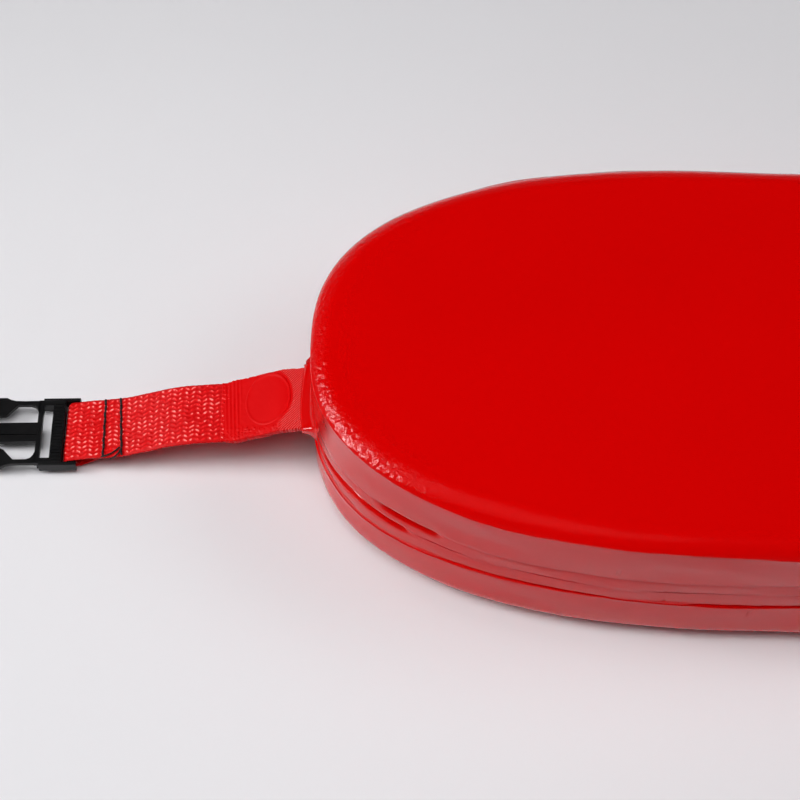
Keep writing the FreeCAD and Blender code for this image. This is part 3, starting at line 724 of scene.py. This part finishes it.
# ---------------------------------------------------------------------------------------
# The belt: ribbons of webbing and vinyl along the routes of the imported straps
# ---------------------------------------------------------------------------------------
# Each point of a route is (distance outwards from the belt's exit, height, bend radius).
LEFT_ROUTE = [
    (-6.0, 25.0, 0.0),
    (5.0, 24.0, 12.0),
    (22.0, 17.2, 25.0),
    (42.0, 15.2, 45.0),
    (62.0, 7.9, 50.0),
    (82.95, 5.65, 2.35),
    (82.95, 0.95, 2.35),
    (77.3, 0.95, 5.0),
    (70.2, 5.1, 5.0),
    (59.4, 6.7, 0.0),
]
RIGHT_ROUTE = [
    (-6.0, 25.0, 0.0),
    (7.0, 23.8, 14.0),
    (24.0, 14.5, 25.0),
    (42.0, 5.0, 25.0),
    (58.0, 2.0, 40.0),
    (150.0, 2.0, 2.1),
    (150.0, 6.2, 2.1),
    (70.0, 6.2, 2.1),
    (70.0, 10.4, 2.1),
    (150.0, 10.4, 20.0),
    (170.0, 5.6, 20.0),
    (187.0, 0.95, 20.0),
    (206.35, 0.95, 2.35),
    (206.35, 5.65, 2.35),
    (201.5, 5.65, 1.6),
    (198.4, 2.65, 1.6),
    (187.0, 2.65, 20.0),
    (170.0, 7.35, 20.0),
    (150.0, 12.2, 20.0),
    (132.0, 12.2, 0.82),
    (132.0, 13.84, 0.82),
    (146.0, 13.84, 0.0),
]
LEFT_STITCH_ROWS = (63.4, 69.4)
RIGHT_STITCH_ROW = 143.0
SLEEVE_RUN = 26.0
SLEEVE_WALL = 0.5
RIB_PITCH = 1.8
COLUMN_RUN = 2.2
DISC_ALONG = 15.5
DISC_ACROSS = 21.0
DISC_CENTRE = 10.3
DISC_OFFSET = 1.5
SLEEVE_RIDGES = (20.6, 25.2, 1.2)
TWILL_PITCH = 0.85
BLEND_START = -2.5
BLEND_END = 9.0
TAIL_START = 92.0
TAIL_SHIFT = 1.3
SLIM_FROM = 73.0
NOWHERE = 1e3
STITCHES = 9
STITCH_PITCH = 2.65
STITCH_LENGTH = 2.75
STITCH_RADIUS = 0.46
THREAD_RADIUS = 0.28


class Route:
    """A flat path with rounded corners, sampled evenly."""

    def __init__(self, corners, step):
        points = [np.array(corners[0][:2])]
        for before, here, after in zip(corners, corners[1:], corners[2:]):
            a, b, c = (np.array(p[:2]) for p in (before, here, after))
            into, onward = (b - a) / np.linalg.norm(b - a), (c - b) / np.linalg.norm(c - b)
            cross = into[0] * onward[1] - into[1] * onward[0]
            bend = math.atan2(cross, into @ onward)
            if abs(bend) < 1e-6:
                points.append(b)
                continue
            radius = here[2]
            start = b - into * radius * math.tan(abs(bend) / 2)
            centre = start + radius * math.copysign(1, bend) * np.array([-into[1], into[0]])
            for share in np.linspace(0, 1, max(4, int(abs(bend) * max(radius, 2) / 0.15))):
                c_, s_ = math.cos(bend * share), math.sin(bend * share)
                arm = start - centre
                points.append(centre + [arm[0] * c_ - arm[1] * s_, arm[0] * s_ + arm[1] * c_])
        points.append(np.array(corners[-1][:2]))
        points = np.array(points)
        run = np.concatenate([[0], np.cumsum(np.hypot(*np.diff(points, axis=0).T))])
        self.along = np.linspace(0, run[-1], int(run[-1] / step) + 1)
        self.points = np.stack([np.interp(self.along, run, points[:, i]) for i in (0, 1)], -1)
        ahead = np.gradient(self.points, axis=0)
        ahead /= np.linalg.norm(ahead, axis=1)[:, None]
        self.normals = np.stack([-ahead[:, 1], ahead[:, 0]], -1)

    def part(self, first_out, last_out):
        """The first stretch of the route between two distances outwards, as a slice."""
        out = self.points[:, 0]
        start = int(np.argmax(out >= first_out))
        end = start + int(np.argmax(out[start:] >= last_out))
        return slice(start, end)

    def at(self, out, back=False):
        """The place and normal where the route passes a distance outwards, first or last."""
        gap = np.abs(self.points[:, 0] - out)
        near = np.flatnonzero(gap < gap.min() + 0.3)
        i = near[-1] if back else near[0]
        return self.points[i], self.normals[i]


def woven_relief(along, across):
    """0 to 1: slanted floats in ribs along the belt, their slant changing in every column."""
    column = along / COLUMN_RUN
    inside = column - np.floor(column) - 0.5
    slant = np.where(np.floor(column) % 2 == 0, 1, -1)
    rib = across / RIB_PITCH + 0.62 * slant * inside
    ridge = 0.5 + 0.5 * np.cos(2 * math.pi * rib)
    return ridge ** 0.9 * (0.30 + 0.70 * np.cos(math.pi * inside) ** 1.2)


def ribbon(name, points, normals, sides, half_width, surface, material, to_row):
    """A closed band: surface(i, v, side) gives a face's distance from the middle, and its marks."""
    rows, columns = len(points), len(sides)
    i = np.arange(rows)[:, None]
    v = np.broadcast_to(sides[None] * np.asarray(half_width(i)), (rows, columns))
    layers, marks = [], []
    for side in (1, -1):
        lift, marked = surface(i, v, side)
        out = points[:, 0][:, None] + side * normals[:, 0][:, None] * lift
        up = points[:, 1][:, None] + side * normals[:, 1][:, None] * lift
        face = np.stack([out, np.broadcast_to(marked["across"], out.shape), up], -1)
        layers.append(face[:, ::side])
        marks.append({key: np.broadcast_to(marked[key], out.shape)[:, ::side] for key in marked})
    section = np.concatenate(layers, 1)
    over, under = marks
    attributes = {key: np.concatenate([over[key], under[key]], 1) for key in over}
    vertices = to_row(section.reshape(-1, 3))
    wide = section.shape[1]
    faces = grid_faces(rows, wide).tolist()
    faces.append(list(range(wide))[::-1])
    faces.append([(rows - 1) * wide + k for k in range(wide)])
    return outward(make_mesh(name, vertices, faces, material, attributes))


def outward(piece):
    """Turn every face outwards."""
    shape = bmesh.new()
    shape.from_mesh(piece.data)
    bmesh.ops.recalc_face_normals(shape, faces=shape.faces)
    shape.to_mesh(piece.data)
    shape.free()
    return piece


def edge_round(v, half_width, thick):
    """Half the thickness across a band: full in the middle and rounded at its edges."""
    reach = np.clip(np.abs(v) / half_width, 0, 1)
    return thick / 2 * (0.18 + 0.82 * np.sqrt(np.clip(1 - reach ** 16, 0, 1)))


def strap(name, route, seed, to_row, tail_start=NOWHERE, tail_shift=0.0, slim_from=NOWHERE):
    """Webbing along a whole route, with its weave in relief and a scalloped selvedge.

    Past tail_start along the route it is shifted sideways, and beyond slim_from outwards it is
    thinner, to clear the buckle.
    """
    half = WEB_WIDTH / 2
    sides = np.linspace(-1, 1, 97)
    lie, fleck = Ripple(seed, 9, 40), Ripple(seed + 7, 1.1, 3.0, 30)
    patch = Ripple(seed + 8, 6, 18, 20)

    def half_width(i):
        s = route.along[i]
        return half - 0.36 + 0.16 * np.abs(np.sin(math.pi * s / COLUMN_RUN)) + 0.05 * lie(s)

    def surface(i, v, side):
        s = route.along[i]
        woven = woven_relief(s + 0.35 * side, v)
        edge = smooth((half - np.abs(v)) / 1.2)
        plain = smooth(s / 2)
        lift = edge_round(v, half, WEB_THICK) - 0.24 + 0.30 * woven * edge * (0.3 + 0.7 * plain)
        lift = lift + side * 0.10 * lie(s, v)
        lift = lift - 0.2 * smooth((route.points[i, 0] - slim_from) / 3)
        v = v + tail_shift * smooth((s - tail_start) / 14)
        # The yarn mark carries the painted highlight and shade of the floats, made stronger or weaker at random along
        # the belt.
        uneven = np.clip(0.70 + 0.26 * fleck(s, v) + 0.15 * patch(s, v), 0, 1.15)
        return lift, {"along": s + 0 * v, "across": v, "yarn": woven * edge * uneven}

    return ribbon(name, route.points, route.normals, sides, half_width, surface, WEBBING, to_row)


def sleeve(name, route, seed, to_row):
    """The vinyl over the first stretch of webbing, feathering out into it."""
    where = route.part(-6, SLEEVE_RUN + 1.2)
    points, normals = route.points[where], route.normals[where]
    half = WEB_WIDTH / 2 + 0.1
    sides = np.sign(np.linspace(-1, 1, 101)) * np.abs(np.linspace(-1, 1, 101)) ** 0.85
    bumps, edge_bumps = Ripple(seed, 1.6, 5, 24), Ripple(seed + 1, 1.2, 3.5, 20)
    hem = Ripple(seed + 2, 5, 22)

    def half_width(i):
        out = points[i, 0]
        return half + 0.12 * edge_bumps(out) - 0.45 * smooth((out - SLEEVE_RUN + 3) / 4)

    def surface(i, v, side):
        out = points[i, 0]
        end = SLEEVE_RUN + 0.7 * hem(v, 0 * v)
        feather = smooth((end - out) / 3.5)
        lift = edge_round(v, half + 0.3, WEB_THICK) - 0.05 + SLEEVE_WALL * feather
        disc_out = (out - DISC_CENTRE) / (DISC_ALONG / 2)
        disc_across = (v - DISC_OFFSET) / (DISC_ACROSS / 2)
        outside = smooth((np.hypot(disc_out, disc_across) - 1.02) / 0.15)
        # Where the twill shows: its lines get a painted highlight in the vinyl's colour, and a little relief here.
        twill = outside * smooth((9 - out) / 5)
        lines = np.sin(2 * math.pi * (out + v) / TWILL_PITCH)
        lift = lift + 0.035 * twill * lines
        ridges = hump(out, *SLEEVE_RIDGES) * (0.55 + 0.45 * smooth((v + 14) / 12))
        lift = lift + 0.11 * ridges * np.cos(2 * math.pi * (out - 21.1 - 0.05 * v) / 1.45)
        near_edge = smooth((-v - 6) / 5)
        lift = lift + 0.015 * bumps(out, v) * outside
        lift = lift + 0.16 * near_edge * np.abs(edge_bumps(out, v)) * outside
        lift = np.where(feather <= 0, lift - 0.15, lift)
        return lift, {"along": out + 0 * v, "across": v, "twill": twill + 0 * v}

    return ribbon(name, points, normals, sides, half_width, surface, STRAP_VINYL, to_row)


def disc(name, route, to_row):
    """The oval weld patch on the sleeve: a low dome inside a raised outline."""
    turns = np.linspace(0, 2 * math.pi, 120, endpoint=False)
    scales = [1.06, 1.03, 1.0, 0.975, 0.95, 0.925, 0.90, 0.87, 0.83, 0.75, 0.6, 0.4, 0.2, 0.05]
    lifts = [-0.35, -0.10, 0.08, 0.13, 0.13, 0.07, 0.02, 0.00, 0.01, 0.02, 0.03, 0.03, 0.03, 0.03]
    wobble = Ripple(55, 2, 7)
    rings = []
    for scale, lift in zip(scales, lifts):
        ring = []
        for turn in turns:
            out = DISC_CENTRE + scale * DISC_ALONG / 2 * math.cos(turn)
            across = DISC_OFFSET + scale * DISC_ACROSS / 2 * math.sin(turn)
            place, normal = interpolated(route, out)
            height = WEB_THICK / 2 + SLEEVE_WALL + lift + 0.012 * float(wobble(out, across))
            ring.append([place[0] + normal[0] * height, across, place[1] + normal[1] * height])
        rings.append(ring)
    vertices = np.array(rings).reshape(-1, 3)
    count = len(turns)
    faces = grid_faces(len(scales), count).tolist()
    faces.append([(len(scales) - 1) * count + k for k in range(count)])
    faces.append(list(range(count))[::-1])
    marks = {"along": vertices[:, 0], "across": vertices[:, 1], "twill": np.zeros(len(vertices))}
    return outward(make_mesh(name, to_row(vertices), faces, STRAP_VINYL, marks))


def interpolated(route, out):
    """The route's first pass at a distance outwards, between its samples."""
    where = route.part(-6, 40)
    place, normal = route.points[where], route.normals[where]
    height = np.interp(out, place[:, 0], place[:, 1])
    leaning = np.array([np.interp(out, place[:, 0], normal[:, k]) for k in (0, 1)])
    return np.array([out, height]), leaning


def thread_row(name, route, out, back, to_row, lean=0.0, shift_across=0.0):
    """A row of stitches across one face: each stitch rises from the weave and sinks into it."""
    place, normal = route.at(out, back)
    along = np.array([normal[1], -normal[0]])
    vertices, faces = [], []
    for k in range(STITCHES):
        middle = (k - (STITCHES - 1) / 2) * STITCH_PITCH
        first = len(vertices)
        steps, turns = 13, 10
        for i in range(steps):
            share = i / (steps - 1)
            across = middle + (share - 0.5) * STITCH_LENGTH
            lift = WEB_THICK / 2 - 0.16 + 0.42 * math.sin(math.pi * share) ** 0.45
            size = STITCH_RADIUS * (0.62 + 0.38 * math.sin(math.pi * share) ** 0.5)
            shift = lean * across + 0.10 * math.sin(3.1 * k + 2.0 * share)
            for j in range(turns):
                a = 2 * math.pi * j / turns
                twist = 1 + 0.10 * math.cos(2 * a + share * 18)
                n_off = lift + size * twist * math.sin(a)
                t_off = shift + size * twist * math.cos(a)
                spot = place + normal * n_off + along * t_off
                vertices.append([spot[0], across + shift_across, spot[1]])
        faces += (grid_faces(steps, turns) + first).tolist()
        faces.append([first + j for j in range(turns)][::-1])
        faces.append([first + (steps - 1) * turns + j for j in range(turns)])
    return outward(make_mesh(name, to_row(np.array(vertices)), faces, THREAD))


def thread_piece(name, points, turns=8):
    """A loose thread through points of the left end's frame: a thin closed tube."""
    points = np.asarray(points, float)
    spans = np.linspace(0, len(points) - 1, 6 * len(points))
    whole = np.stack([np.interp(spans, range(len(points)), points[:, k]) for k in range(3)], -1)
    for _ in range(3):
        whole[1:-1] = (whole[:-2] + 2 * whole[1:-1] + whole[2:]) / 4
    vertices = []
    for i, place in enumerate(whole):
        ahead = Vector(whole[min(i + 1, len(whole) - 1)] - whole[max(i - 1, 0)]).normalized()
        side = ahead.cross(Vector((0.3, 0.2, 0.93))).normalized()
        up = side.cross(ahead)
        for j in range(turns):
            a = 2 * math.pi * j / turns
            vertices.append(Vector(place) + THREAD_RADIUS * (math.cos(a) * side + math.sin(a) * up))
    faces = grid_faces(len(whole), turns).tolist()
    faces.append(list(range(turns))[::-1])
    faces.append([(len(whole) - 1) * turns + j for j in range(turns)])
    return outward(make_mesh(name, left_to_row(np.array(vertices)), faces, THREAD))


def crossing_threads(route):
    """Two threads that cross from the near end of one row to the other and wrap its edge."""
    first, second = LEFT_STITCH_ROWS
    edge = -WEB_WIDTH / 2 - 0.15

    def on_top(out, across, lift=0.25):
        place, _ = route.at(out)
        return (place[0], across, place[1] + WEB_THICK / 2 + lift)

    over = [on_top(first, -9.9, 0.0), on_top(first + 0.3, -11.2), on_top(first + 1.6, edge, 0.1)]
    over += [(first + 3.0, edge - 0.1, on_top(first + 3.0, 0)[2] - 1.2)]
    back = [on_top(second + 0.6, -12.1, 0.0), on_top(second - 1.6, -11.7)]
    back += [on_top(first + 2.6, -11.0), on_top(first + 0.9, -9.8), on_top(first + 0.2, -8.8, 0.0)]
    return [thread_piece("crossing_over", over), thread_piece("crossing_back", back)]


def joined(name, pieces):
    """Several pieces of one material as one."""
    shape = bmesh.new()
    for piece in pieces:
        shape.from_mesh(piece.data)
    pieces[0].data.clear_geometry()
    shape.to_mesh(pieces[0].data)
    shape.free()
    pieces[0].data.polygons.foreach_set("use_smooth", [True] * len(pieces[0].data.polygons))
    for piece in pieces[1:]:
        bpy.data.objects.remove(piece)
    pieces[0].name = name
    return pieces[0]


def end_points(to_row):
    """Where the belt starts to turn with its own body, and where it wholly does."""
    ends = to_row(np.array([[BLEND_START, 0.0, BELT_Z], [BLEND_END, 0.0, BELT_Z]])) * MM
    return {"start": tuple(ends[0]), "end": tuple(ends[1])}


# Each prong from above: (distance outwards from the end bar, distance from the middle line),
# from the inside of its root round the barb to its outside.
BAR_RUN = 80.6
PRONG = [
    (12.2, 6.6),
    (13.0, 8.2),
    (13.5, 9.6),
    (14.4, 10.8),
    (15.9, 11.35),
    (20.4, 11.4),
    (22.2, 9.4),
    (23.9, 7.3),
    (24.8, 6.9),
    (31.5, 6.9),
    (33.4, 7.3),
    (34.7, 8.2),
    (35.1, 9.4),
    (34.4, 10.8),
    (32.6, 12.4),
    (30.0, 13.8),
    (27.6, 14.5),
    (24.6, 14.5),
    (23.2, 13.7),
    (21.4, 13.2),
    (18.0, 13.05),
    (12.2, 13.1),
]
PRONG_LOW = 4.0
PRONG_HIGH = 5.9
PRONG_MIDDLE = (PRONG_LOW + PRONG_HIGH) / 2
PRONG_EDGE = 0.32
PRONG_ROOT = 12.25
ROOT_BEND = (13.2, 16.5)


def bevelled_plate(name, outline, low, high, width_mm):
    """An upright extrusion of an outline, with all its edges rounded."""
    count = len(outline)
    vertices = [(x, y, low) for x, y in outline] + [(x, y, high) for x, y in outline]
    faces = [list(range(count))[::-1], list(range(count, 2 * count))]
    faces += [[i, (i + 1) % count, count + (i + 1) % count, count + i] for i in range(count)]
    piece = outward(make_mesh(name, vertices, faces, BLACK))
    round_edges(piece, width_mm, 3)
    return piece


def round_edges(piece, width_mm, segments):
    """A bevel on every edge that turns by more than 32 degrees."""
    bevel = piece.modifiers.new("edges", "BEVEL")
    bevel.width = width_mm * MM
    bevel.segments = segments
    bevel.limit_method = "ANGLE"
    bevel.angle_limit = math.radians(32)
    bevel.harden_normals = True


def apply_modifiers(piece):
    """Keeps the piece's final mesh and drops its modifiers."""
    bpy.context.view_layer.update()
    evaluated = piece.evaluated_get(bpy.context.evaluated_depsgraph_get())
    final = bpy.data.meshes.new_from_object(evaluated)
    piece.modifiers.clear()
    piece.data = final


def build_prongs():
    """The two springy arms: each bends out of the frame beside the cross member."""
    for label, side, node, body in (
        ("far", 1, "male_arm_far", "male_far_arm"),
        ("near", -1, "male_arm_near", "male_near_arm"),
    ):
        plan = left_to_row([[BAR_RUN + out, side * across, 0.0] for out, across in PRONG])[:, :2]
        outline = [tuple(p) for p in plan]
        prong = bevelled_plate(f"male_prong_{label}", outline, PRONG_LOW, PRONG_HIGH, PRONG_EDGE)
        apply_modifiers(prong)
        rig.replaces(prong, node)
        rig.slot(prong, "black_acetal")
        bend = [[BAR_RUN + out, side * PRONG_ROOT, PRONG_MIDDLE] for out in ROOT_BEND]
        ends = left_to_row(bend) * MM
        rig.blend(prong, "male_buckle", body, start=tuple(ends[0]), end=tuple(ends[1]))


def build_left_belt():
    """The short side: webbing, sleeve, patch and the stitches of its loop."""
    route = Route(LEFT_ROUTE, 0.28)
    web = strap("left_webbing", route, 40, left_to_row, TAIL_START, TAIL_SHIFT, SLIM_FROM)
    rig.replaces(web, "left_strap")
    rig.slot(web, "red_webbing")
    cover = sleeve("left_sleeve", route, 43, left_to_row)
    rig.replaces(cover, "left_strap_coating")
    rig.slot(cover, "red_strap_vinyl")
    patch = disc("left_patch", route, left_to_row)
    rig.replaces(patch, "left_strap_disc")
    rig.slot(patch, "red_strap_vinyl")
    for piece in (web, cover, patch):
        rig.blend(piece, "float", "left_belt", **end_points(left_to_row))
    rows = []
    for number, out in enumerate(LEFT_STITCH_ROWS):
        lean = 0.07 - 0.05 * number
        over, under = f"row_{number}", f"under_row_{number}"
        rows.append(thread_row(over, route, out, False, left_to_row, lean))
        rows.append(thread_row(under, route, out, True, left_to_row, -lean, TAIL_SHIFT))
    rows += crossing_threads(route)
    stitches = joined("left_stitches", rows)
    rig.replaces(stitches, "left_strap_stitching")
    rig.slot(stitches, "black_thread")
    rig.ride(stitches, "left_belt")


def build_right_belt():
    """The long side, folded: webbing, sleeve, patch and the hem of its tail."""
    route = Route(RIGHT_ROUTE, 0.40)
    web = strap("right_webbing", route, 60, right_to_row)
    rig.replaces(web, "right_strap")
    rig.slot(web, "red_webbing")
    cover = sleeve("right_sleeve", route, 63, right_to_row)
    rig.replaces(cover, "right_strap_coating")
    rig.slot(cover, "red_strap_vinyl")
    patch = disc("right_patch", route, right_to_row)
    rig.replaces(patch, "right_strap_disc")
    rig.slot(patch, "red_strap_vinyl")
    for piece in (web, cover, patch):
        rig.blend(piece, "float", "right_belt", **end_points(right_to_row))
    hem = thread_row("hem_row", route, RIGHT_STITCH_ROW, True, right_to_row)
    stitches = joined("right_stitches", [hem])
    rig.replaces(stitches, "right_strap_stitching")
    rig.slot(stitches, "black_thread")
    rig.ride(stitches, "right_belt")


BAND_OUT = 100.0
BAND_WIDTH = 8.0
# The band's path round the folded belt, its end lapped over its start: (across, height, radius).
BAND_ROUTE = [
    (4.5, 11.78, 0.0),
    (13.05, 11.78, 1.5),
    (13.05, 0.6, 1.5),
    (-13.05, 0.6, 1.5),
    (-13.05, 11.78, 1.5),
    (-6.0, 11.78, 6.0),
    (-3.6, 12.86, 6.0),
    (3.6, 12.86, 0.0),
]


def build_band():
    """Woven elastic round the stored belt, sewn where its end laps over its start."""
    route = Route(BAND_ROUTE, 0.25)
    sides = np.linspace(-1, 1, 49)
    lie = Ripple(70, 4, 20)

    def to_row(points):
        return right_to_row(np.stack([BAND_OUT + points[:, 1], points[:, 0], points[:, 2]], -1))

    def half_width(i):
        s = route.along[i]
        return BAND_WIDTH / 2 + 0.06 * np.abs(np.sin(math.pi * s / PICK_PITCH)) + 0.05 * lie(s)

    def surface(i, v, side):
        s = route.along[i]
        picks = np.sin(2 * math.pi * s / PICK_PITCH + 3.14 * np.round(v / CORD_PITCH))
        ribs = np.cos(2 * math.pi * v / CORD_PITCH) * (0.7 + 0.3 * picks)
        lift = edge_round(v, BAND_WIDTH / 2 + 0.1, 0.95) - 0.07 + 0.08 * ribs
        return lift, {"along": s + 0 * v, "across": v}

    band = ribbon(
        "storage_band", route.points, route.normals, sides, half_width, surface, ELASTIC, to_row
    )
    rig.replaces(band, "folding_band")
    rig.slot(band, "black_elastic")
    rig.ride(band, "right_belt")


def rounded_copy(name, node, body, width_mm):
    """A moulded piece: the CAD shape with its edges rounded."""
    mesh = bpy.data.objects[node].data.copy()
    shape = bmesh.new()
    shape.from_mesh(mesh)
    bmesh.ops.remove_doubles(shape, verts=shape.verts, dist=1e-6)
    bmesh.ops.dissolve_limit(
        shape, angle_limit=math.radians(1), verts=shape.verts, edges=shape.edges
    )
    shape.to_mesh(mesh)
    shape.free()
    piece = bpy.data.objects.new(name, mesh)
    bpy.context.scene.collection.objects.link(piece)
    mesh.materials.clear()
    mesh.materials.append(BLACK)
    round_edges(piece, width_mm, 2)
    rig.replaces(piece, node)
    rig.slot(piece, "black_acetal")
    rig.ride(piece, body)


build_left_belt()
build_right_belt()
build_band()
rounded_copy("male_frame", "male_buckle_frame", "male_buckle", 0.22)
build_prongs()
rounded_copy("female_shell", "female_buckle_shell", "female_buckle", 0.3)


# ---------------------------------------------------------------------------------------
# Floor, light and camera
# ---------------------------------------------------------------------------------------
# The floor, light and camera are in metres.
FLAT_RADIUS = 1.4
RISE_REACH = 1.2
RISE_HEIGHT = 1.4
LENS_MM = 79.82
CAMERA_PLACE = (-0.12972, -0.34016, 0.54032)
CAMERA_TILT = math.radians(33.257)
CAMERA_ROLL = math.radians(1.403)
WARM = (1.0, 0.99, 0.985)
COOL = (0.99, 0.99, 1.0)
FILL = (1.0, 0.995, 1.0)


def build_floor():
    """A wide dish: flat under the object, rising softly to a pale backdrop."""
    rise = np.radians(np.linspace(6, 90, 15))
    radii = [0.3, 0.6, 1.0, FLAT_RADIUS] + list(FLAT_RADIUS + RISE_REACH * np.sin(rise))
    levels = [0, 0, 0, 0] + list(RISE_HEIGHT * (1 - np.cos(rise)))
    turns = np.radians(np.arange(0, 360, 5))
    rings = [[r * math.cos(a), r * math.sin(a), z] for r, z in zip(radii, levels) for a in turns]
    points = np.array(rings + [[0, 0, 0]])
    faces = grid_faces(len(radii), len(turns), flip=True).tolist()
    faces += [[len(points) - 1, i, (i + 1) % len(turns)] for i in range(len(turns))]
    floor = make_mesh("paper_floor", points / MM, faces, pale_floor())
    floor.location.z = -0.0004
    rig.stage(floor)


def add_area_light(name, place, aim, size, power, colour=(1, 1, 1), mirrored=True, spread=180):
    """A soft box turned towards a point; a fill light isn't mirrored in glossy surfaces."""
    lamp = bpy.data.lights.new(name, "AREA")
    lamp.shape = "RECTANGLE"
    lamp.size, lamp.size_y = size
    lamp.energy = power
    lamp.color = colour
    holder = bpy.data.objects.new(name, lamp)
    holder.location = place
    holder.rotation_euler = (Vector(aim) - Vector(place)).to_track_quat("-Z", "Y").to_euler()
    holder.visible_glossy = mirrored
    lamp.spread = math.radians(spread)
    bpy.context.scene.collection.objects.link(holder)


def add_camera():
    """A camera before the left half of the pad, looking down at it and rolled a little."""
    lens = bpy.data.cameras.new("camera")
    lens.lens = LENS_MM
    lens.sensor_width = 36
    lens.clip_start = 0.01
    holder = bpy.data.objects.new("camera", lens)
    tilt = Matrix.Rotation(CAMERA_TILT, 4, "X")
    roll = Matrix.Rotation(CAMERA_ROLL, 4, "Z")
    holder.matrix_world = Matrix.Translation(CAMERA_PLACE) @ tilt @ roll
    bpy.context.scene.collection.objects.link(holder)
    bpy.context.scene.camera = holder


build_floor()
add_area_light("right_box", (1.45, 0.02, 1.4), (0, 0, 0), (0.9, 0.8), 3.0, WARM)
add_area_light(
    "left_box", (-1.32, -0.08, 0.98), (-0.05, -0.03, 0), (0.58, 0.42), 1.45, COOL, spread=60
)
add_area_light(
    "fill_box", (-0.3, -0.17, 0.85), (-0.15, -0.05, 0), (0.6, 0.6), 4.5, FILL, mirrored=False
)
add_area_light(
    "far_fill_box", (0.95, 0.2, 1.1), (0.5, 0.1, 0), (0.8, 0.8), 4.0, FILL, mirrored=False
)
add_area_light("low_strip", (-0.2, -2.0, 0.42), (-0.1, 0, 0.02), (3.2, 0.14), 1.5)
add_camera()

scene = bpy.context.scene
scene.view_settings.view_transform = "Standard"
scene.world = bpy.data.worlds.new("dim_room")
scene.world.use_nodes = True
room = scene.world.node_tree.nodes["Background"]
room.inputs["Color"].default_value = (0.012, 0.012, 0.013, 1)
room.inputs["Strength"].default_value = 1.0


def plain(box):
    """A box as plain numbers, for json."""
    return [[float(v) for v in corner] for corner in box]


with open("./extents.json", "w") as out:
    json.dump({"cad": plain(cad_box), "visual": plain(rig.bounds())}, out)
